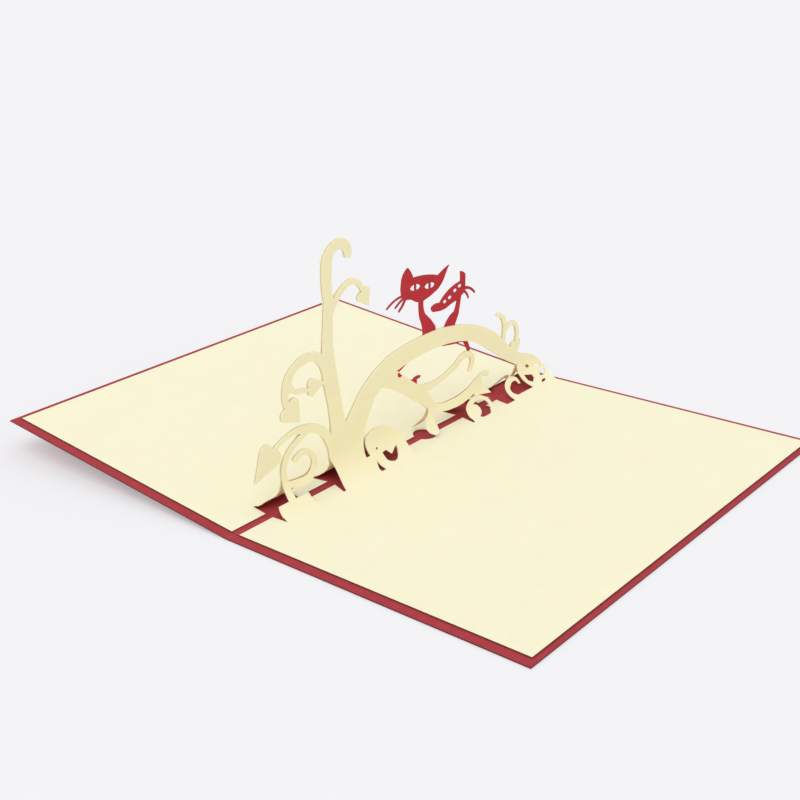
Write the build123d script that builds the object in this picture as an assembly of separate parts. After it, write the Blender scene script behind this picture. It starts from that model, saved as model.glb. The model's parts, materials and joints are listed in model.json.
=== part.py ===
# Pop-up greeting card with a paper tree and two cats, lying open.
# Millimetres. +X along the right wing, +Y along the spine from front to back, +Z up.
# The origin lies under the middle of the spine, on the surface that the right wing rests on.
from build123d import *
import os
from math import acos, asin, ceil, cos, degrees, radians, sin

# Card stock
CARD_LENGTH = 150.0        # along the spine
WING_WIDTH = 100.0         # from the spine to an outer edge
COVER_THICKNESS = 0.35
LEAF_THICKNESS = 0.30
CAT_THICKNESS = 0.30

# The card lies open, with its left wing lifted a little off the table
LEFT_WING_LIFT = 5.7       # degrees

# Cream sheets on the red cover
SPINE_GAP = 1.5            # from the spine to the sheet's inner edge
OUTER_MARGIN = 1.9         # red shown along the outer edge
FRONT_MARGIN = 3.2         # red shown at the front end
BACK_MARGIN = 1.8          # red shown at the back end

# Where the tree leaves the sheets, and where its two layers meet
FOLD_OFFSET = 6.8          # from the spine to the fold line
JOIN_HEIGHT = 10.0         # above the spine
TREE_HEIGHT = 73.7         # from the spine to the top of the highest curl

TREE_INSET = 13.1          # from the sheet's front end to the tree, which runs on to its back end

# The tree is drawn in (along, height), from the first tab's start to the last one's end, and up to the top
# curl. A tab has its start and end along the fold, and its start at the sheet's inner edge.
TABS = ((16.3, 29.0, 16.0), (39.4, 72.0, 41.3), (101.0, 114.5, 102.2), (119.6, 148.2, 120.6))
TAB_LEAN = 1.0             # of the first tab's front edge
TOP_CURL = (46.4, 72.2, 3.0)       # its width comes last
POCKET = (84.3, 6.4)       # middle and length of the pocket for the hanging stem
POCKET_DEPTH = 2.3         # into the sheet's inner edge

# How the lines are cut
OVAL_CHORD = 1.8           # about the length of the straight lines that an oval is cut with
STRAIGHT = 0.03            # an arc that bulges less than this is drawn as a straight line
TIGHT = 6.0                # an arc of a smaller radius is drawn as short straight lines
LINE_BULGE = 0.06          # how far an arc may bulge past such a line
NARROW = 0.55              # a band whose half width is less than this ends in one straight cut
ALLOWANCE = 1.0            # how far outlines and sheets run on past the lines that they are trimmed to

HALF_LIFT = radians(LEFT_WING_LIFT / 2)
LEAF_EDGE = WING_WIDTH - OUTER_MARGIN
LEAF_FRONT = FRONT_MARGIN - CARD_LENGTH / 2
LEAF_BACK = CARD_LENGTH / 2 - BACK_MARGIN
DRAWN_START, DRAWN_END = TABS[0][0], TABS[-1][1]
ALONG_SCALE = (LEAF_BACK - LEAF_FRONT - TREE_INSET) / (DRAWN_END - DRAWN_START)
HEIGHT_SCALE = TREE_HEIGHT / (TOP_CURL[1] + TOP_CURL[2] / 2)
WIDTH_SCALE = (ALONG_SCALE + HEIGHT_SCALE) / 2


def at(along, height):
    """A point of the drawing, on the card: its place along the spine, and its height above it."""
    return LEAF_BACK - (DRAWN_END - along) * ALONG_SCALE, height * HEIGHT_SCALE


def points(pairs):
    return [at(along, height) for along, height in pairs]


def odd_number(values):
    """The values, with one more half way between the last two where their number is even."""
    return values if len(values) % 2 else values[:-1] + [(values[-2] + values[-1]) / 2, values[-1]]


def bend(start, middle, end):
    """An arc through three places, or straight lines where it is flat, short or tight."""
    chord = end - start
    if abs(chord.cross(middle - start).Z) / chord.length < STRAIGHT:
        return Line(start, end)
    arc = ThreePointArc(start, middle, end)
    turn = 2 * acos(1 - LINE_BULGE / arc.radius)
    lines = ceil(arc.length / arc.radius / turn)
    if arc.radius > TIGHT and lines > 2:
        return arc
    return Polyline(*[arc.position_at(line / lines) for line in range(lines + 1)])


def arcs(places):
    """A run of arcs, where every second place is the middle of an arc."""
    return [bend(*three) for three in zip(places[::2], places[1::2], places[2::2])]


def smooth(places):
    """A run of arcs along a smooth line through the places."""
    line = Spline(*places)
    marks = odd_number([line.param_at_point(Vector(*place)) for place in places])
    return arcs([line.position_at(mark) for mark in marks])


def offset_point(line, position, distance):
    """The point beside a line, on its left where the distance is positive."""
    middle = line.position_at(position)
    heading = line.tangent_at(position)
    return middle + Vector(-heading.Y, heading.X) * distance


def clipped_end(line, position, half, outward):
    """The end of a band, from its left corner to its right one: half an octagon, or a straight cut."""
    shares = ((1, 0), (-1, 0)) if half < NARROW else ((1, 0), (0.7, 0.7), (-0.7, 0.7), (-1, 0))
    heading = line.tangent_at(position)
    corners = [offset_point(line, position, half * side) + heading * half * out * outward
               for side, out in shares]
    return Polyline(*corners)


def stroke(*stations):
    """A cut band with blunt ends, which follows a smooth line; a station is (along, height, width)."""
    places = points([station[:2] for station in stations])
    line = Spline(*places)
    marks = odd_number([line.param_at_point(Vector(*place)) for place in places])
    halves = odd_number([station[2] * WIDTH_SCALE / 2 for station in stations])
    left = [offset_point(line, mark, half) for mark, half in zip(marks, halves)]
    right = [offset_point(line, mark, -half) for mark, half in zip(marks, halves)]
    ends = [clipped_end(line, 0, halves[0], -1), clipped_end(line, 1, halves[-1], 1)]
    return make_face(arcs(left) + arcs(right) + ends)


def heart(notch, tip, width):
    """A heart leaf between its notch and its tip."""
    start = Vector(*at(*notch))
    axis = Vector(*at(*tip)) - start
    side = Vector(-axis.Y, axis.X).normalized() * width * WIDTH_SCALE

    def half(sign):
        shares = ((0, 0), (-0.12, 0.36), (0.28, 0.48), (1, 0))
        places = [start + axis * along + side * across * sign for along, across in shares]
        return [bend(*places[:3]), Line(*places[2:])]

    return make_face(half(1) + half(-1))


def shape(*runs):
    """A closed outline of smooth runs, each a list of points, with straight lines from run to run."""
    edges = []
    for run, following in zip(runs, runs[1:] + runs[:1]):
        edges += smooth(points(run)) if len(run) > 2 else [Line(*points(run))]
        if run[-1] != following[0]:
            edges.append(Line(at(*run[-1]), at(*following[0])))
    return make_face(edges)


def oval(along, height, half_length, half_height, turn=0.0):
    """An ellipse cut as short straight lines."""
    corners = max(8, round(4 * (half_length + half_height) / OVAL_CHORD))
    angles = [radians(360 * corner / corners) for corner in range(corners)]
    across, up = half_length * WIDTH_SCALE, half_height * WIDTH_SCALE
    ring = Polyline(*[(across * cos(angle), up * sin(angle)) for angle in angles], close=True)
    return Pos(*at(along, height)) * Rot(0, 0, turn) * make_face(ring)


def merged(pieces):
    whole = pieces[0]
    for piece in pieces[1:]:
        whole = whole + piece
    return whole


def trunk():
    left = [(39.0, -ALLOWANCE), (41.9, 3.4), (41.4, 6.8), (40.4, 10.2), (41.4, 15.0), (41.7, 20.0)]
    right = [(60.5, 21.5), (57.3, 16.0), (55.4, 11.5), (54.7, 7.0), (54.5, -ALLOWANCE)]
    return shape(left, [(41.7, 20.0), (47.3, 18.3)], right)


def tall_branch():
    """The branch that rises from the trunk to the top curl, with the twig and heart leaf at its right."""
    branch = stroke((44.6, 16.0, 6.2), (43.7, 23.0, 5.4), (42.4, 30.0, 5.4), (41.2, 37.0, 5.2),
                    (40.8, 44.0, 4.2), (41.2, 51.0, 3.7), (41.6, 57.0, 3.6), (41.0, 63.0, 3.8),
                    (41.3, 68.0, 4.0), (43.4, 71.4, 3.2), TOP_CURL, (49.0, 70.9, 3.1),
                    (49.8, 68.4, 2.9))
    twig = stroke((42.6, 53.6, 2.6), (44.8, 56.8, 2.1), (48.0, 59.3, 1.9), (51.2, 60.1, 1.8),
                  (54.1, 58.7, 1.7), (55.8, 55.6, 1.2))
    return [branch, twig, heart((55.7, 55.6), (58.1, 51.0), 5.4)]


def middle_scroll():
    """The scroll at the left of the tall branch, which forks into two heart leaves."""
    scroll = stroke((40.9, 33.0, 4.4), (38.9, 39.6, 3.6), (35.6, 42.3, 2.6), (31.8, 42.7, 2.7),
                    (28.0, 41.5, 2.6), (25.1, 38.9, 2.9), (24.0, 35.8, 2.6), (23.7, 33.0, 2.1),
                    (24.6, 30.2, 1.9))
    fork = stroke((25.0, 37.4, 2.2), (26.6, 35.0, 1.7), (29.6, 33.7, 1.3), (33.6, 33.2, 1.1))
    return [scroll, fork, heart((24.6, 30.3), (29.1, 24.6), 7.6), heart((33.4, 33.4), (39.4, 33.6), 4.8)]


def low_scroll():
    """The scroll at the left of the trunk: one arm to a large heart leaf, one down to the first tab."""
    arm = stroke((42.6, 8.0, 3.4), (41.0, 14.0, 3.2), (38.2, 18.4, 2.9), (34.4, 20.8, 2.8),
                 (30.0, 21.9, 2.6), (26.0, 22.3, 1.7), (22.0, 21.4, 1.5), (18.4, 19.6, 1.4))
    stem = stroke((32.0, 21.0, 1.8), (28.0, 19.3, 2.0), (24.6, 17.1, 2.1), (22.5, 14.2, 2.0),
                  (22.1, 10.5, 2.1), (22.5, 6.5, 2.4), (22.8, 1.6, 2.7))
    curl = stroke((22.8, 7.6, 1.6), (26.6, 6.6, 2.0), (30.4, 6.3, 2.1), (33.6, 8.2, 2.1),
                  (34.3, 11.2, 2.0), (32.6, 13.9, 1.9), (29.4, 14.9, 1.7), (26.7, 13.7, 2.0))
    return [arm, stem, curl, heart((18.0, 19.4), (10.9, 12.0), 8.2)]


def first_tab():
    """The plain tab that the low scroll stands on; it ends at the sheet's own inner edge."""
    start, end, _ = TABS[0]
    height = shoulder_height() / HEIGHT_SCALE
    front = [(start, -ALLOWANCE), (start, 0), (start + TAB_LEAN, height)]
    return shape(front, [(end, height), (end, -ALLOWANCE)])


def bough():
    """The bough that arches to the right, and the lower branch under it."""
    arch = stroke((48.5, 11.5, 8.0), (52.0, 16.6, 8.0), (56.4, 22.3, 7.6), (61.6, 26.7, 6.8),
                  (68.0, 29.6, 6.5), (76.0, 30.9, 6.2), (84.0, 31.5, 6.0), (92.0, 31.3, 5.8),
                  (100.0, 30.1, 5.4), (107.0, 28.2, 5.5), (113.4, 25.2, 5.8), (119.2, 21.4, 6.0),
                  (124.6, 17.2, 5.2), (129.6, 13.4, 4.4), (134.6, 10.6, 4.2))
    lower = stroke((63.0, 27.0, 6.4), (67.4, 25.2, 6.0), (72.0, 22.2, 5.2), (76.6, 18.8, 4.8),
                   (81.4, 15.2, 4.6), (85.4, 11.6, 3.8), (87.8, 8.8, 3.2))
    crotch = oval(71.9, 25.0, 1.3, 0.9, -30)
    return arch + lower - crotch


def hanging_stem():
    """The stem that hangs from the lower branch and ends as a round tongue just above the sheet."""
    stem = stroke((87.2, 9.8, 2.6), (86.6, 7.4, 2.5), (85.8, 5.4, 2.8), (85.0, 4.0, 3.6))
    return [stem, oval(84.8, 3.5, 2.5, 1.9)]


def low_twigs():
    """The twig that curls up under the bough, and the one that runs on towards the back."""
    up = stroke((80.6, 17.6, 2.6), (84.6, 16.6, 2.4), (89.4, 16.6, 1.8), (94.6, 17.6, 1.9),
                (100.0, 19.5, 2.3), (104.2, 21.4, 2.1), (107.4, 20.6, 1.9), (108.3, 17.8, 1.9),
                (106.8, 15.4, 1.4))
    on = stroke((86.6, 9.6, 2.6), (91.0, 7.6, 2.4), (97.0, 6.8, 2.6), (103.0, 7.0, 2.8),
                (108.0, 8.2, 3.2), (110.6, 10.2, 2.0), (113.4, 11.5, 1.4), (116.2, 11.4, 1.5))
    return [up, on, oval(116.2, 11.1, 1.1, 1.0), heart((110.2, 8.6), (116.8, 4.6), 4.6)]


def trunk_ring():
    """The rounded ring at the right of the trunk's foot, with its cut-outs."""
    crown = [(72.0, 3.2), (71.2, 5.9), (68.8, 8.3), (65.6, 10.2), (62.0, 11.1), (58.6, 10.9),
             (56.2, 9.8), (55.8, 7.0), (56.3, 4.2)]
    foot = [(54.0, 4.2), (54.0, -ALLOWANCE)]
    wedge = [(57.5, 2.7), (56.2, 1.1), (56.5, -0.2), (58.8, -0.2), (57.7, 1.3)]
    ring = shape(crown, foot, [(72.0, -ALLOWANCE), (72.0, 3.2)])
    ring -= make_face(Polyline(*points(wedge), close=True))
    swirl = shape([(61.1, 3.7), (61.2, 1.8)], [(61.2, 1.8), (63.8, 0.9), (67.8, 3.5)],
                  [(67.3, 3.8), (64.2, 2.5)], [(64.2, 2.5), (62.9, 3.9)])
    return ring - swirl - oval(59.8, 5.2, 0.5, 0.4)


def third_tab():
    """A low ring with a crescent cut out of it."""
    crown = [(102.1, -ALLOWANCE), (101.8, 1.2), (102.4, 3.4), (104.8, 4.9), (108.6, 5.4),
             (112.0, 4.8), (114.5, 3.2)]
    ring = shape(crown, [(114.5, 3.2), (114.5, -ALLOWANCE)])
    return ring - (oval(108.8, 2.3, 4.2, 2.1) - oval(105.4, 2.5, 3.0, 1.5))


def end_tab():
    """The last tab: a hook, a thin band and the bough's end with four small cut-outs."""
    band = shape([(124.4, -ALLOWANCE), (124.8, 1.0)], [(DRAWN_END, 1.0), (DRAWN_END, -ALLOWANCE)])
    hook = stroke((126.4, 0.2, 2.6), (124.8, 2.2, 2.1), (126.2, 4.4, 1.9), (129.0, 5.3, 1.5),
                  (131.0, 4.7, 1.2), (131.6, 3.2, 0.9))
    strand = stroke((134.2, 9.0, 1.6), (133.7, 6.6, 1.0), (134.4, 3.9, 1.0), (136.4, 1.6, 1.2),
                    (138.6, 0.4, 1.4))
    upper = [(132.2, 13.6), (136.0, 12.2), (140.8, 10.4), (145.2, 7.8), (147.6, 4.8), (DRAWN_END, 2.0)]
    lower = [(DRAWN_END, -ALLOWANCE), (137.0, -ALLOWANCE)]
    inner = [(136.6, 1.0), (134.8, 3.6), (134.2, 7.0), (132.6, 9.6)]
    body = shape(upper, lower, inner)
    body -= shape([(135.6, 4.7), (139.6, 3.8)], [(139.6, 3.8), (139.8, 2.7)], [(139.8, 2.7), (138.2, 1.9)],
                  [(138.2, 1.9), (136.2, 2.8)])
    body -= oval(145.0, 3.1, 1.9, 0.8, 8)
    body -= oval(142.8, 1.3, 1.6, 0.4, 6)
    body -= oval(138.7, 6.7, 1.2, 0.6, -25)
    body -= oval(144.0, 5.4, 1.5, 0.55, -20)
    return [band, hook, strand, body]


def bough_twigs():
    """The small hook and the heart twig that stand on the far part of the bough."""
    hook = stroke((124.6, 19.0, 2.2), (125.4, 22.6, 1.8), (125.5, 25.6, 1.8), (124.3, 28.4, 1.6),
                  (121.3, 30.3, 1.2))
    twig = stroke((125.2, 23.0, 1.4), (128.2, 25.0, 1.4), (131.0, 24.7, 1.5), (132.6, 22.2, 1.6),
                  (132.4, 18.0, 1.5))
    return [hook, twig, heart((132.0, 17.6), (132.6, 12.6), 5.4)]


def tree_outline():
    """One layer of the tree, as cut, in the plane of the drawing."""
    pieces = [trunk(), bough()] + tall_branch() + middle_scroll() + low_scroll()
    pieces += [first_tab(), trunk_ring()] + hanging_stem() + low_twigs()
    pieces += [third_tab()] + end_tab() + bough_twigs()
    return merged(pieces)


def rise():
    """Radius, start angle and centre of the bend between the fold line and the join."""
    across = FOLD_OFFSET * cos(HALF_LIFT) - CAT_THICKNESS / 2
    up = JOIN_HEIGHT - FOLD_OFFSET * sin(HALF_LIFT)
    radius = (across ** 2 + up ** 2) / (2 * across)
    return radius, asin(up / radius), CAT_THICKNESS / 2 + radius


def shoulder_height():
    """Height of a point of the bend that lay at the sheet's inner edge before folding."""
    radius, angle, _ = rise()
    return JOIN_HEIGHT - radius * sin(angle - (FOLD_OFFSET - SPINE_GAP) / radius)


def rising_sheet():
    """The right sheet's path from the fold line up to the top, as a solid over the whole length."""
    radius, angle, centre = rise()

    def on_bend(reach, turn):
        return centre - reach * cos(turn), JOIN_HEIGHT - reach * sin(turn)

    near = radius - LEAF_THICKNESS
    top = TREE_HEIGHT + ALLOWANCE
    edges = [ThreePointArc(on_bend(radius, angle), on_bend(radius, angle / 2), on_bend(radius, 0)),
             Polyline(on_bend(radius, 0), (centre - radius, top), (centre - near, top), on_bend(near, 0)),
             ThreePointArc(on_bend(near, 0), on_bend(near, angle / 2), on_bend(near, angle)),
             Line(on_bend(near, angle), on_bend(radius, angle))]
    face = Plane.XZ.offset(-LEAF_BACK) * make_face(edges)
    return extrude(face, LEAF_BACK - LEAF_FRONT)


def layer():
    """The right layer of the tree, bent out to the fold line at its foot."""
    return rising_sheet() & extrude(Plane.YZ * tree_outline(), FOLD_OFFSET + ALLOWANCE)


def sheet_plan():
    """The right cream sheet seen from above, with the tabs and the stem's pocket taken out."""
    middle = (SPINE_GAP + LEAF_EDGE) / 2, (LEAF_FRONT + LEAF_BACK) / 2
    plan = Pos(*middle) * Rectangle(LEAF_EDGE - SPINE_GAP, LEAF_BACK - LEAF_FRONT)
    for fold_start, fold_end, edge_start in TABS:
        corners = [(0, at(edge_start, 0)[0]), (SPINE_GAP, at(edge_start, 0)[0]),
                   (FOLD_OFFSET, at(fold_start, 0)[0]), (FOLD_OFFSET, at(fold_end, 0)[0]),
                   (0, at(fold_end, 0)[0])]
        plan -= make_face(Polyline(*corners, close=True))
    middle, length = POCKET
    pocket = [Vector(SPINE_GAP, at(middle - length / 2, 0)[0]),
              Vector(SPINE_GAP + POCKET_DEPTH, at(middle, 0)[0]),
              Vector(SPINE_GAP, at(middle + length / 2, 0)[0])]
    return plan - make_face([bend(*pocket), Line(pocket[2], pocket[0])])


def leaf():
    """The right cream sheet with its tree layer, in the frame where both wings rise alike."""
    panel = Rot(0, -degrees(HALF_LIFT), 0) * extrude(sheet_plan(), LEAF_THICKNESS)
    return panel + layer()


def cover():
    """The red card, folded once along the spine."""
    cosine, sine = cos(HALF_LIFT), sin(HALF_LIFT)
    outer = (WING_WIDTH * cosine, WING_WIDTH * sine)
    under = (outer[0] + COVER_THICKNESS * sine, outer[1] - COVER_THICKNESS * cosine)
    crease = (0, -COVER_THICKNESS / cosine)
    corners = [(0, 0), outer, under, crease, (-under[0], under[1]), (-outer[0], outer[1])]
    face = Plane.XZ * make_face(Polyline(*corners, close=True))
    return extrude(face, CARD_LENGTH / 2, both=True)


def large_cat():
    head = shape([(75.8, 57.8), (73.9, 56.4), (72.8, 53.4), (73.0, 49.8), (74.2, 47.9)],
                 [(74.2, 47.9), (76.4, 47.7), (78.0, 47.1), (79.4, 46.2), (81.4, 45.5)],
                 [(83.0, 45.5), (86.0, 46.1), (89.6, 47.3), (92.2, 49.2), (93.8, 51.6), (95.4, 53.9)],
                 [(95.4, 53.9), (92.6, 53.0), (90.1, 51.9)],
                 [(90.1, 51.9), (85.6, 53.2), (78.3, 54.1)],
                 [(78.3, 54.1), (77.2, 56.2), (75.8, 57.8)])
    for middle in ((79.3, 50.8), (86.1, 49.6)):
        eye = oval(*middle, 2.5, 1.0, -6)
        pupil = oval(*middle, 0.45, 1.6)
        head -= eye - pupil
    neck = stroke((82.2, 46.8, 2.2), (82.1, 43.4, 2.2), (82.8, 40.6, 2.7), (84.4, 38.2, 4.0),
                  (86.0, 35.0, 6.2), (86.2, 32.0, 5.6))
    whiskers = [stroke((73.8, 49.6, 0.8), (70.6, 49.3, 0.6), (68.0, 48.4, 0.6), (66.2, 47.4, 0.5)),
                stroke((74.0, 48.9, 0.8), (71.8, 47.8, 0.6), (70.0, 46.7, 0.5)),
                stroke((74.6, 48.2, 0.8), (73.0, 46.2, 0.7), (71.6, 45.1, 0.5))]
    return [head, neck] + whiskers


def small_cat():
    head = shape([(101.2, 47.1), (101.1, 50.4)], [(101.1, 50.4), (102.6, 49.8), (103.7, 48.8)],
                 [(103.7, 45.2), (103.2, 43.0), (101.4, 42.2)],
                 [(99.0, 41.2), (96.6, 40.8), (94.2, 40.1), (91.6, 40.0), (89.0, 40.4), (87.1, 41.3),
                  (86.9, 42.3), (88.4, 42.9), (91.0, 42.7)],
                 [(91.0, 42.7), (93.4, 44.6), (96.8, 46.2), (101.2, 47.1)])
    for along, height in ((93.6, 42.4), (96.0, 43.1), (98.6, 44.7), (100.9, 45.6)):
        head -= oval(along, height, 1.0, 0.6, -12)
    neck = stroke((100.8, 43.4, 2.4), (100.3, 39.8, 2.0), (99.5, 37.2, 2.6), (97.2, 34.8, 4.6),
                  (95.4, 32.2, 5.0))
    whiskers = [stroke((102.6, 44.3, 1.2), (105.4, 43.8, 0.9), (107.4, 42.7, 0.8), (108.8, 41.3, 0.6)),
                stroke((102.8, 43.6, 1.0), (104.5, 42.2, 0.7), (105.6, 40.3, 0.5))]
    return [head, neck] + whiskers


def cat_backs():
    """What joins the cats behind the bough, with two paws and a tail that just show past it."""
    back = stroke((68.8, 26.4, 3.0), (73.0, 28.2, 3.4), (78.0, 30.4, 3.8), (85.0, 31.4, 4.0),
                  (93.0, 30.2, 4.6), (100.4, 29.0, 4.8), (104.2, 28.0, 3.6))
    leg = stroke((70.2, 26.0, 2.6), (74.0, 21.8, 2.6), (79.4, 19.8, 2.4))
    tail = stroke((103.0, 28.0, 2.4), (104.9, 25.4, 1.7), (106.3, 22.6, 1.5))
    return [back, leg, tail, oval(80.3, 21.3, 1.9, 0.6)]


def cats():
    """Both cats, cut as one piece that stands between the tree's layers."""
    outline = merged(large_cat() + cat_backs() + small_cat())
    return extrude(Plane.YZ.offset(-CAT_THICKNESS / 2) * outline, CAT_THICKNESS)


def settled(part):
    """Turns the evenly opened card about its spine until the right wing lies flat."""
    return Pos(0, 0, COVER_THICKNESS) * Rot(0, degrees(HALF_LIFT), 0) * part


def main():
    os.makedirs("parts", exist_ok=True)
    right = leaf()
    nodes = {
        "cover": cover(),
        "right_leaf": right,
        "left_leaf": mirror(right, Plane.YZ),
        "cat_pair": cats(),
    }
    for name, part in nodes.items():
        placed = settled(part)
        solids = placed.solids()
        print(name, len(solids), "solids", [round(solid.volume, 2) for solid in solids])
        export_step(solids[0] if len(solids) == 1 else placed, f"parts/{name}.step")


main()
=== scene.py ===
# %% [markdown]
# A pop-up greeting card, open on a table. The real one is paper and nothing else: a folded red card, two
# cream sheets glued inside it, and a tree and two cats that a laser has cut.
# The shapes come ready from the imported model, because a cut sheet is all outline and thickness. This file
# gives them what makes paper look like paper: fibres and tooth and the worn line of a crease, painted shade
# on the rim of a cut and beside the sheets, and painted light that deepens the colour of a sheet that stands.
# Then come the table, the light and the camera.

# %% Load the card
import json
from math import atan2, cos, degrees, pi, radians, sin

import bpy
from mathutils import Matrix, Vector


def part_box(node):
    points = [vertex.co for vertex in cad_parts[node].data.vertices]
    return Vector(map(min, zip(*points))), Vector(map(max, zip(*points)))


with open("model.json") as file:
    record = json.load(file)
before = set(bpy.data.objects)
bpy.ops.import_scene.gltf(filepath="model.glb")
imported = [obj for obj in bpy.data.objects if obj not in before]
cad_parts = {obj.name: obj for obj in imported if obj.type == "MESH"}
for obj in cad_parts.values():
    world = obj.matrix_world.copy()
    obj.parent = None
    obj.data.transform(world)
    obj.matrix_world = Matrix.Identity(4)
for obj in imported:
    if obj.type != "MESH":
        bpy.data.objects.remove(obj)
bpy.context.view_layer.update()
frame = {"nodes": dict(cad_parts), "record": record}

MM = 0.001

# %% [markdown]
# The camera looks from low over the front right corner, across the right wing to the tree. A camera's pose
# can be typed in as angles about the axes, but three plain numbers are easier to reason about: how far it
# turns from the spine's direction, how far it dips, and how far it leans over.

# %% Camera
CAMERA_PLACE = Vector((0.23856, -0.27343, 0.16542))
TURN, DIP, LEAN = radians(-41.28), radians(22.42), radians(-2.3)
SENSOR_MM, LENS_MM = 36.0, 57.54


def camera_matrix(place, turn, dip, lean):
    """World matrix of a camera: level and facing +Y, then turned to the right, dipped and leaned over."""
    ahead = Vector((sin(turn) * cos(dip), cos(turn) * cos(dip), -sin(dip)))
    level = Vector((cos(turn), -sin(turn), 0))
    above = level.cross(ahead)
    right = level * cos(lean) + above * sin(lean)
    up = above * cos(lean) - level * sin(lean)
    turned = Matrix((right, up, -ahead)).transposed().to_4x4()
    return Matrix.Translation(place) @ turned


camera = bpy.data.objects.new("camera", bpy.data.cameras.new("camera"))
bpy.context.scene.collection.objects.link(camera)
camera.data.sensor_width = SENSOR_MM
camera.data.lens = LENS_MM
camera.matrix_world = camera_matrix(CAMERA_PLACE, TURN, DIP, LEAN)
bpy.context.scene.camera = camera
print("camera", round(CAMERA_PLACE.length, 3), "m from the middle of the spine")

# %% [markdown]
# How far the card is open decides how steeply its left wing and its tree stand, and some finishes need that.
# The angle could be typed in again, but the cover itself knows it: the upper faces of its two wings each have
# one direction, and the left one leans over by the angle of the lift. The tree leans by half of that.

# %% How far the card is open
FACES_UP = 0.5              # a face whose normal rises more than this is an upper one
cover_faces = frame["nodes"]["cover"].data.polygons
left_wing_up = max((face.normal for face in cover_faces if face.normal.z > FACES_UP), key=lambda up: up.x)
LIFT = atan2(left_wing_up.x, left_wing_up.z)
TREE_SIDEWAYS = (cos(LIFT / 2), 0.0, -sin(LIFT / 2))
print("left wing lifted by", round(degrees(LIFT), 2), "degrees")

# %% [markdown]
# The finishes are made of nodes, and all of them share some effects: the fibres in any sheet, the rim of a
# cut, where shade is painted, and the painted light on a sheet that stands. Each effect is a node group that
# is built once. These helpers add nodes and link them in one line, so that the recipes below read like
# recipes.

# %% Helpers for nodes
def node(tree, kind, inputs=None, **settings):
    """Adds a node, applies its settings, and sets or links its inputs, which go by name or number."""
    made = tree.nodes.new(kind)
    for key, value in settings.items():
        setattr(made, key, value)
    for key, value in (inputs or {}).items():
        if isinstance(value, bpy.types.NodeSocket):
            tree.links.new(value, made.inputs[key])
        else:
            made.inputs[key].default_value = value
    return made


def maths(tree, operation, first, second=0.0):
    """One sum on two numbers."""
    return node(tree, "ShaderNodeMath", {0: first, 1: second}, operation=operation).outputs[0]


def between(tree, value, low, high):
    """Rises smoothly from 0 at low to 1 at high."""
    return node(tree, "ShaderNodeMapRange", {"Value": value, "From Min": low, "From Max": high},
                interpolation_type="SMOOTHSTEP").outputs["Result"]


def blend_colour(tree, share, first, second):
    """A colour between two others."""
    return node(tree, "ShaderNodeMix", {0: share, 6: first, 7: second}, data_type="RGBA").outputs[2]


def parts_of(tree, vector):
    """The X, Y and Z of a vector."""
    return node(tree, "ShaderNodeSeparateXYZ", {0: vector}).outputs


def new_group(name, inputs, outputs):
    """A node group whose sockets all carry one number; the inputs come with their usual values."""
    group = bpy.data.node_groups.new(name, "ShaderNodeTree")
    for label, usual in inputs.items():
        made = group.interface.new_socket(label, in_out="INPUT", socket_type="NodeSocketFloat")
        made.default_value = usual
    for label in outputs:
        group.interface.new_socket(label, in_out="OUTPUT", socket_type="NodeSocketFloat")
    return group


def grouped(tree, group, **values):
    """Places a group in a material with its own values; a socket called Cloud Size is set as Cloud_Size."""
    named = {label.replace("_", " "): value for label, value in values.items()}
    return node(tree, "ShaderNodeGroup", named, node_tree=group).outputs


# %% [markdown]
# Paper is felted fibre. From a step away it reads as a faint cloudiness a few millimetres wide, and close up
# as a tooth that catches the light. Pictures of paper could do this, but noise that lives in the card's own
# space needs no unwrapping and keeps its scale on every sheet. The noise is stretched along the spine,
# because the fibres of a machine-made sheet mostly lie one way.

# %% Node group: paper fibre
ALONG_THE_GRAIN = 0.45              # the noise runs this much slower along the spine
CLOUD_DETAIL, TOOTH_DETAIL = 3.0, 2.0
NOISE_LOW, NOISE_HIGH = 0.3, 0.7    # the part of the noise's range that is stretched to 0 and 1


def paper_fibre():
    """Cloudiness and tooth of paper; the two sizes are in millimetres."""
    group = new_group("paper fibre", {"Cloud Size": 5.0, "Fibre Size": 0.35}, ("Cloud", "Tooth"))
    sizes_mm = node(group, "NodeGroupInput").outputs
    place = node(group, "ShaderNodeTexCoord").outputs["Object"]
    grain = {"Vector": place, "Scale": (1.0, ALONG_THE_GRAIN, 1.0)}
    laid = node(group, "ShaderNodeMapping", grain).outputs[0]

    def noise(size_mm, detail):
        scale = maths(group, "DIVIDE", 1 / MM, size_mm)
        inputs = {"Vector": laid, "Scale": scale, "Detail": detail}
        return node(group, "ShaderNodeTexNoise", inputs).outputs[0]

    cloud = between(group, noise(sizes_mm["Cloud Size"], CLOUD_DETAIL), NOISE_LOW, NOISE_HIGH)
    tooth = noise(sizes_mm["Fibre Size"], TOOTH_DETAIL)
    node(group, "NodeGroupOutput", {"Cloud": cloud, "Tooth": tooth})
    return group


FIBRE = paper_fibre()
print("node group made:", FIBRE.name)

# %% [markdown]
# A cut shows the inside of a sheet, and its rim is where shade is painted. Worn corners are usually found by
# how sharply the surface turns, which needs a fine mesh. Here the direction of a face is enough. The tree's
# sheets face sideways, so what doesn't face sideways in the tree is a cut; a wing faces up, so what stands
# upright there is a cut. The two get masks of their own, because the rims round the wings get much darker
# painted shade than those of the tree.

# %% Node group: cut rim
WING_CLEARANCE_MM = 1.3     # what is higher than this above both wings belongs to the tree
TREE_CUT_LIMIT = 0.2        # in the tree, a face whose normal goes less than this sideways is a cut
WING_CUT_LIMIT = 0.3        # on a wing, a face whose normal goes less than this up or down is a cut


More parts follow.
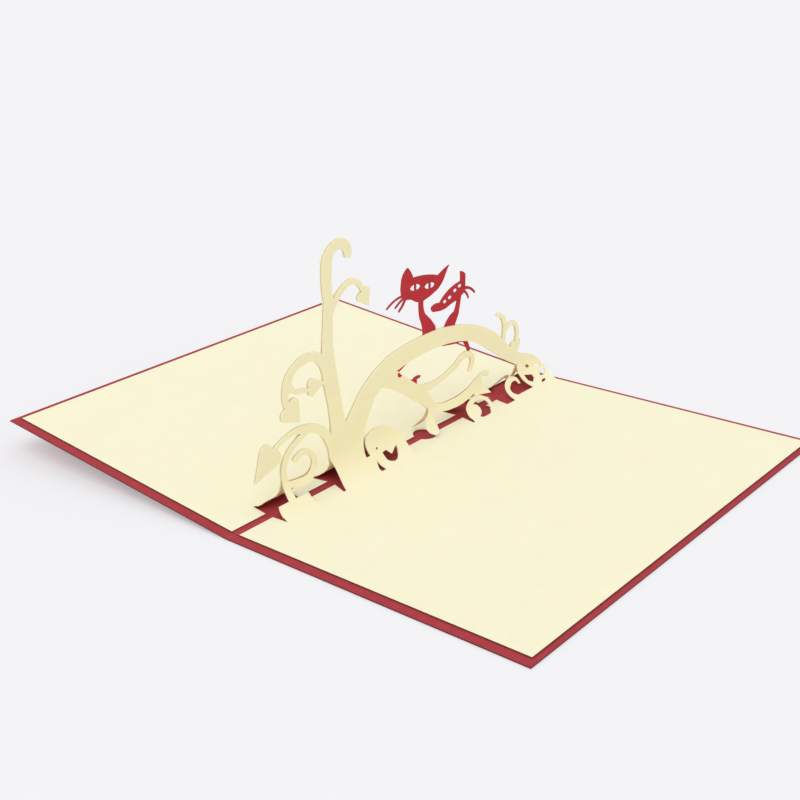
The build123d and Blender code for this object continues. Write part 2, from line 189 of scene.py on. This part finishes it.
def cut_rim():
    """Masks for the cut edges of the wings and of the tree."""
    group = new_group("cut rim", {}, ("Wing Rim", "Tree Rim"))
    geometry = node(group, "ShaderNodeNewGeometry").outputs
    place, facing = parts_of(group, geometry["Position"]), parts_of(group, geometry["True Normal"])
    sideways = node(group, "ShaderNodeVectorMath", {0: geometry["True Normal"], 1: TREE_SIDEWAYS},
                    operation="DOT_PRODUCT").outputs["Value"]
    left_rise = maths(group, "MULTIPLY", place["X"], -sin(LIFT))
    wing_height = maths(group, "MAXIMUM", left_rise, 0.0)
    above_wing = maths(group, "SUBTRACT", place["Z"], wing_height)
    in_tree = maths(group, "GREATER_THAN", above_wing, WING_CLEARANCE_MM * MM)
    on_wing = maths(group, "SUBTRACT", 1.0, in_tree)
    tree_cut = maths(group, "LESS_THAN", maths(group, "ABSOLUTE", sideways), TREE_CUT_LIMIT)
    wing_cut = maths(group, "LESS_THAN", maths(group, "ABSOLUTE", facing["Z"]), WING_CUT_LIMIT)
    node(group, "NodeGroupOutput", {"Wing Rim": maths(group, "MULTIPLY", on_wing, wing_cut),
                                    "Tree Rim": maths(group, "MULTIPLY", in_tree, tree_cut)})
    return group


CUT_RIM = cut_rim()
print("node group made:", CUT_RIM.name)

# %% [markdown]
# The tree looks straw-coloured against the sheets that it was cut from, although it is the same paper. Light
# goes through a thin sheet that stands, and comes to it from the other sheets, and comes out yellower. An
# exported model doesn't keep light that spreads inside a sheet, so this deeper tone is painted light, written
# into the colour, and this mask says where: it grows with how steeply the paper stands.

# %% Node group: painted light on a standing sheet
STANDS_FROM, STANDS_FULLY = 0.98, 0.45      # how far the normal points up where the tone starts and is full


def painted_light_group():
    """A mask for painted light, which grows with how steeply the paper stands."""
    group = new_group("standing sheet", {"Starts": STANDS_FROM, "Full": STANDS_FULLY}, ("Upright",))
    marks = node(group, "NodeGroupInput").outputs
    up = parts_of(group, node(group, "ShaderNodeNewGeometry").outputs["Normal"])["Z"]
    upright = between(group, maths(group, "ABSOLUTE", up), marks["Starts"], marks["Full"])
    node(group, "NodeGroupOutput", {"Upright": upright})
    return group


PAINTED_LIGHT = painted_light_group()
print("node group made:", PAINTED_LIGHT.name)

# %% [markdown]
# The cream sheets are uncoated paper: matt, warm, a little cloudy. Two close creams are mixed by the clouds,
# and where the sheet stands a straw tone is painted in as painted light. The cuts are painted dark as painted
# shade: hardly on the tree, and dark round the wings. The tooth is a bump of a few hundredths of a
# millimetre, and roughens the gloss in the same places. A little light spreads inside the sheet, red light
# furthest, which keeps its thin edges from looking dark.

# %% Cream paper
CREAM, CREAM_CLOUD = (0.920, 0.874, 0.640, 1), (0.913, 0.864, 0.624, 1)
# painted light: the straw tone of a sheet that stands
PAINTED_STRAW, PAINTED_STRAW_CLOUD = (0.958, 0.867, 0.584, 1), (0.951, 0.857, 0.568, 1)
# painted shade on the cut edges, and below it how much goes on the wings and on the tree
PAINTED_RIM_SHADE = (0.160, 0.035, 0.012, 1)
WING_RIM_SHADE, TREE_RIM_SHADE = 0.95, 0.03
CREAM_CLOUD_MM, CREAM_FIBRE_MM = 6.0, 0.4
CREAM_BUMP, CREAM_TOOTH_MM = 0.35, 0.03
CREAM_SMOOTHEST, CREAM_ROUGHEST = 0.78, 0.92
CREAM_SPECULAR = 0.25
INNER_LIGHT, INNER_LIGHT_MM = 0.4, 0.3
INNER_LIGHT_COLOUR = (1.0, 0.75, 0.45)


def new_material(name):
    """A new material, its nodes and its surface shader."""
    material = bpy.data.materials.new(name)
    material.use_nodes = True
    return material, material.node_tree, material.node_tree.nodes["Principled BSDF"]


def roughened(tree, tooth, low, high):
    """Roughness that follows the tooth of the paper."""
    return node(tree, "ShaderNodeMapRange", {"Value": tooth, "From Min": NOISE_LOW, "From Max": NOISE_HIGH,
                                             "To Min": low, "To Max": high}).outputs["Result"]


def bumped(tree, height, strength, depth_mm):
    """A normal that follows a height."""
    inputs = {"Strength": strength, "Distance": depth_mm * MM, "Height": height}
    return node(tree, "ShaderNodeBump", inputs).outputs[0]


def cream_paper():
    """The finish of the two sheets and the tree that is cut from them."""
    material, tree, surface = new_material("cream paper")
    fibre = grouped(tree, FIBRE, Cloud_Size=CREAM_CLOUD_MM, Fibre_Size=CREAM_FIBRE_MM)
    rim = grouped(tree, CUT_RIM)
    lying = blend_colour(tree, fibre["Cloud"], CREAM_CLOUD, CREAM)
    painted_standing = blend_colour(tree, fibre["Cloud"], PAINTED_STRAW_CLOUD, PAINTED_STRAW)
    # painted light: the straw tone where the sheet stands
    colour = blend_colour(tree, grouped(tree, PAINTED_LIGHT)["Upright"], lying, painted_standing)
    # painted shade on the cut edges of the wings and of the tree
    colour = blend_colour(tree, maths(tree, "MULTIPLY", rim["Wing Rim"], WING_RIM_SHADE), colour, PAINTED_RIM_SHADE)
    colour = blend_colour(tree, maths(tree, "MULTIPLY", rim["Tree Rim"], TREE_RIM_SHADE), colour, PAINTED_RIM_SHADE)
    roughness = roughened(tree, fibre["Tooth"], CREAM_SMOOTHEST, CREAM_ROUGHEST)
    normal = bumped(tree, fibre["Tooth"], CREAM_BUMP, CREAM_TOOTH_MM)
    tree.links.new(colour, surface.inputs["Base Color"])
    tree.links.new(roughness, surface.inputs["Roughness"])
    tree.links.new(normal, surface.inputs["Normal"])
    surface.inputs["Specular IOR Level"].default_value = CREAM_SPECULAR
    surface.inputs["Subsurface Weight"].default_value = INNER_LIGHT
    surface.inputs["Subsurface Radius"].default_value = INNER_LIGHT_COLOUR
    surface.inputs["Subsurface Scale"].default_value = INNER_LIGHT_MM * MM
    return material


CREAM_PAPER = cream_paper()
print("finish made:", CREAM_PAPER.name)

# %% [markdown]
# The red card is dyed right through, so its cut rim is red too, and it is painted darker as painted shade.
# The cats are cut from the same card; where they stand they are painted a clearer red than the cover, which
# is painted light. Where the inside of the cover meets the rim of a cream sheet, a thin dark line of painted
# shade is put. Its place is worked out from the sheets' own corners, as a distance outside their outline.

# %% Sheet outline
SHEET_LOW, SHEET_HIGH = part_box("right_leaf")
SHEET_MIDDLE, SHEET_HALF = (SHEET_LOW[1] + SHEET_HIGH[1]) / 2, (SHEET_HIGH[1] - SHEET_LOW[1]) / 2
SHEET_REACH = SHEET_HIGH[0]


def outside_sheets(tree):
    """Distance outside the outline of the cream sheet on either wing, below 0 within it."""
    place = parts_of(tree, node(tree, "ShaderNodeNewGeometry").outputs["Position"])
    height = maths(tree, "MAXIMUM", place["Z"], 0.0)
    across = node(tree, "ShaderNodeCombineXYZ", {0: place["X"], 2: height}).outputs[0]
    from_spine = node(tree, "ShaderNodeVectorMath", {0: across}, operation="LENGTH").outputs["Value"]
    past_edge = maths(tree, "SUBTRACT", from_spine, SHEET_REACH)
    along = maths(tree, "ABSOLUTE", maths(tree, "SUBTRACT", place["Y"], SHEET_MIDDLE))
    return maths(tree, "MAXIMUM", past_edge, maths(tree, "SUBTRACT", along, SHEET_HALF))


print("sheets reach", round(SHEET_REACH / MM, 1), "mm from the spine")
print("sheets are", round(2 * SHEET_HALF / MM, 1), "mm long")

# %% [markdown]
# The fold along the spine has been worked: its fibres are broken and show as a thin paler line. That line is
# found by its distance from the spine, and the same number dents the surface. The painted shade beside a
# sheet is a mask of the same kind, found by the distance from a sheet, and lies on upper faces only, because
# no sheet meets the cover's outside.

# %% Crease and painted shade beside the sheets
CREASE_HALF_WIDTH_MM, CREASE_TOP_MM = 0.35, 2.0
# the painted shade beside a sheet is full at the first distance and gone at the second
SHEET_SHADE_START_MM, SHEET_SHADE_END_MM = 0.15, 0.6


def spine_crease(tree):
    """1 along the spine and 0 beside it, on the cover only."""
    place = parts_of(tree, node(tree, "ShaderNodeNewGeometry").outputs["Position"])
    beside = between(tree, maths(tree, "ABSOLUTE", place["X"]), 0.0, CREASE_HALF_WIDTH_MM * MM)
    low_down = maths(tree, "LESS_THAN", place["Z"], CREASE_TOP_MM * MM)
    return maths(tree, "MULTIPLY", maths(tree, "SUBTRACT", 1.0, beside), low_down)


def painted_sheet_shade(tree):
    """Painted shade: 1 in the thin line where the cover's inside meets the rim of a sheet, and 0 on its
    outside.
    """
    beyond = outside_sheets(tree)
    close = between(tree, beyond, SHEET_SHADE_END_MM * MM, SHEET_SHADE_START_MM * MM)
    uncovered = maths(tree, "GREATER_THAN", beyond, -SHEET_SHADE_START_MM * MM)
    up = parts_of(tree, node(tree, "ShaderNodeNewGeometry").outputs["True Normal"])["Z"]
    inside = maths(tree, "GREATER_THAN", up, FACES_UP)
    return maths(tree, "MULTIPLY", maths(tree, "MULTIPLY", close, uncovered), inside)


print("crease", 2 * CREASE_HALF_WIDTH_MM, "mm wide, painted_shade up to", SHEET_SHADE_END_MM, "mm from a sheet")

# %% [markdown]
# The red finish is put together like the cream one: a lying tone and a clearer standing tone, which is
# painted light, each a little cloudy. Over them go the painted shade beside the sheets, the rims painted dark
# as painted shade, and last the worn crease, where only the tops of the tooth have lost their colour. One
# picture of the whole card could hold all this, but masks stay sharp at any distance.

# %% Red card
RED, RED_CLOUD = (0.405, 0.036, 0.047, 1), (0.365, 0.030, 0.040, 1)
# painted light: the clearer red of the card where it stands, as the cats do
PAINTED_CLEAR_RED, PAINTED_CLEAR_RED_CLOUD = (0.520, 0.023, 0.034, 1), (0.465, 0.019, 0.029, 1)
# painted shade: the dark of the rims and of the line beside the sheets
RED_PAINTED_SHADE = (0.110, 0.010, 0.018, 1)
RED_WORN = (0.560, 0.110, 0.110, 1)
SHEET_SHADE_SHARE, CAT_RIM_SHADE_SHARE, WORN_SHARE = 0.6, 0.3, 0.6
WORN_FROM, WORN_FULLY = 0.45, 0.60      # how high in the tooth the crease starts to be worn and is worn off
CREASE_DENT = 2.0                       # how much deeper the crease is than the tooth
RED_CLOUD_MM, RED_FIBRE_MM = 3.0, 0.5
RED_BUMP, RED_TOOTH_MM = 0.4, 0.04
RED_SMOOTHEST, RED_ROUGHEST = 0.68, 0.82
RED_SPECULAR = 0.3


def red_card():
    """The finish of the cover and the cats."""
    material, tree, surface = new_material("red card")
    fibre = grouped(tree, FIBRE, Cloud_Size=RED_CLOUD_MM, Fibre_Size=RED_FIBRE_MM)
    rim, crease = grouped(tree, CUT_RIM), spine_crease(tree)
    lying = blend_colour(tree, fibre["Cloud"], RED_CLOUD, RED)
    painted_standing = blend_colour(tree, fibre["Cloud"], PAINTED_CLEAR_RED_CLOUD, PAINTED_CLEAR_RED)
    # painted light: the clearer red where the card stands
    colour = blend_colour(tree, grouped(tree, PAINTED_LIGHT)["Upright"], lying, painted_standing)
    # painted shade beside the sheets
    colour = blend_colour(tree, maths(tree, "MULTIPLY", painted_sheet_shade(tree), SHEET_SHADE_SHARE), colour, RED_PAINTED_SHADE)
    # painted shade on the cut rims of the cover and, less, of the cats
    colour = blend_colour(tree, rim["Wing Rim"], colour, RED_PAINTED_SHADE)
    colour = blend_colour(tree, maths(tree, "MULTIPLY", rim["Tree Rim"], CAT_RIM_SHADE_SHARE), colour, RED_PAINTED_SHADE)
    worn = maths(tree, "MULTIPLY", crease, between(tree, fibre["Tooth"], WORN_FROM, WORN_FULLY))
    colour = blend_colour(tree, maths(tree, "MULTIPLY", worn, WORN_SHARE), colour, RED_WORN)
    dent = maths(tree, "MULTIPLY", crease, CREASE_DENT)
    roughness = roughened(tree, fibre["Tooth"], RED_SMOOTHEST, RED_ROUGHEST)
    normal = bumped(tree, maths(tree, "SUBTRACT", fibre["Tooth"], dent), RED_BUMP, RED_TOOTH_MM)
    tree.links.new(colour, surface.inputs["Base Color"])
    tree.links.new(roughness, surface.inputs["Roughness"])
    tree.links.new(normal, surface.inputs["Normal"])
    surface.inputs["Specular IOR Level"].default_value = RED_SPECULAR
    return material


RED_CARD = red_card()
print("finish made:", RED_CARD.name)

# %% [markdown]
# A finish is put on by swapping the material in the part's own slot, so that every face keeps its place.

# %% Dress the parts
FINISHES = {"cream_paper": CREAM_PAPER, "red_card": RED_CARD}
for entry in frame["record"]["subparts"]:
    part = frame["nodes"][entry["node"]]
    part.data.materials.clear()
    part.data.materials.append(FINISHES[entry["material_slot"]])
    print(part.name, "has", len(part.data.polygons), "faces and the finish", entry["material_slot"])

# %% [markdown]
# The table is one big pale plane, so pale that it reads as a white studio floor and still takes the card's
# shadow. It could be made paler with more light, but that would bleach the card too. Instead, a share of the
# table shows the camera a plain tone, which thins the shade under the card and adds no light to it.

# %% Table
TABLE_REACH = 12.0
TABLE_DEPTH_MM = 0.15       # a card never lies quite flat, and a thin line of shade shows under its edge
TABLE_COLOUR = (0.869, 0.869, 0.892, 1)
TABLE_ROUGHNESS, TABLE_SPECULAR = 0.9, 0.1
BACKDROP_COLOUR = (0.905, 0.905, 0.922, 1)
BACKDROP_SHARE = 0.35       # how much of the table's look is the backdrop's tone
QUARTERS = (-1, -1), (1, -1), (1, 1), (-1, 1)


def looked_at(tree):
    """1 for what the camera sees, also mirrored or through glass, and 0 for light on its way to the card."""
    ray = node(tree, "ShaderNodeLightPath").outputs
    indirectly = maths(tree, "MAXIMUM", ray["Is Glossy Ray"], ray["Is Transmission Ray"])
    return maths(tree, "MAXIMUM", ray["Is Camera Ray"], indirectly)


def pale_table():
    """A matt pale surface, partly covered by the backdrop's tone where it is looked at."""
    material, tree, surface = new_material("pale table")
    surface.inputs["Base Color"].default_value = TABLE_COLOUR
    surface.inputs["Roughness"].default_value = TABLE_ROUGHNESS
    surface.inputs["Specular IOR Level"].default_value = TABLE_SPECULAR
    tone = node(tree, "ShaderNodeEmission", {"Color": BACKDROP_COLOUR, "Strength": 1.0}).outputs[0]
    share = maths(tree, "MULTIPLY", looked_at(tree), BACKDROP_SHARE)
    tabletop = node(tree, "ShaderNodeMixShader", {0: share, 1: surface.outputs[0], 2: tone}).outputs[0]
    tree.links.new(tabletop, tree.nodes["Material Output"].inputs["Surface"])
    return material


mesh = bpy.data.meshes.new("table")
corners = [(x * TABLE_REACH, y * TABLE_REACH, -TABLE_DEPTH_MM * MM) for x, y in QUARTERS]
mesh.from_pydata(corners, [], [(0, 1, 2, 3)])
mesh.materials.append(pale_table())
table = bpy.data.objects.new("table", mesh)
bpy.context.scene.collection.objects.link(table)
print("table reaches", TABLE_REACH, "m each way")

# %% [markdown]
# A curved backdrop could hide where the table ends. Instead, the surroundings have two looks: the camera and
# anything glossy see the tone that the lit table has, so that no horizon shows, and the card is lit by an
# even white sky.

# %% Surroundings
SKY_COLOUR, SKY_STRENGTH = (1.0, 1.0, 1.0, 1), 0.74

world = bpy.data.worlds.new("surroundings")
bpy.context.scene.world = world
world.use_nodes = True
air = world.node_tree
sky = air.nodes["Background"]
sky.inputs["Color"].default_value = SKY_COLOUR
sky.inputs["Strength"].default_value = SKY_STRENGTH
backdrop = node(air, "ShaderNodeBackground", {"Color": BACKDROP_COLOUR, "Strength": 1.0})
both = node(air, "ShaderNodeMixShader", {0: looked_at(air), 1: sky.outputs[0], 2: backdrop.outputs[0]})
air.links.new(both.outputs[0], air.nodes["World Output"].inputs["Surface"])
print("sky gives", SKY_STRENGTH, "of the light that shows a colour as written")

# %% [markdown]
# A white tent with one large window lights the card. The tent is the even sky above. The window is a sun lamp
# with a very wide disc: its light is soft, and unlike that of a near lamp it doesn't fade across the table.
# A level sheet gets from both together about as much light as makes its colour come out as it is written.

# %% Window light
WINDOW_SHARE = 0.30
WINDOW_DIRECTION = Vector((0.25, -0.50, 1.0)).normalized()
WINDOW_WIDTH = radians(50)

light = bpy.data.lights.new("window", "SUN")
light.energy = WINDOW_SHARE * pi / WINDOW_DIRECTION.z
light.angle = WINDOW_WIDTH
window = bpy.data.objects.new("window", light)
bpy.context.scene.collection.objects.link(window)
window.rotation_mode = "QUATERNION"
window.rotation_quaternion = (-WINDOW_DIRECTION).to_track_quat("-Z", "Y")
print("light on a level sheet:", round(SKY_STRENGTH + WINDOW_SHARE, 2))

# %% [markdown]
# Last, the plain view transform, so that a colour on screen is the colour that was written.

# %% Settings
bpy.context.scene.view_settings.view_transform = "Standard"
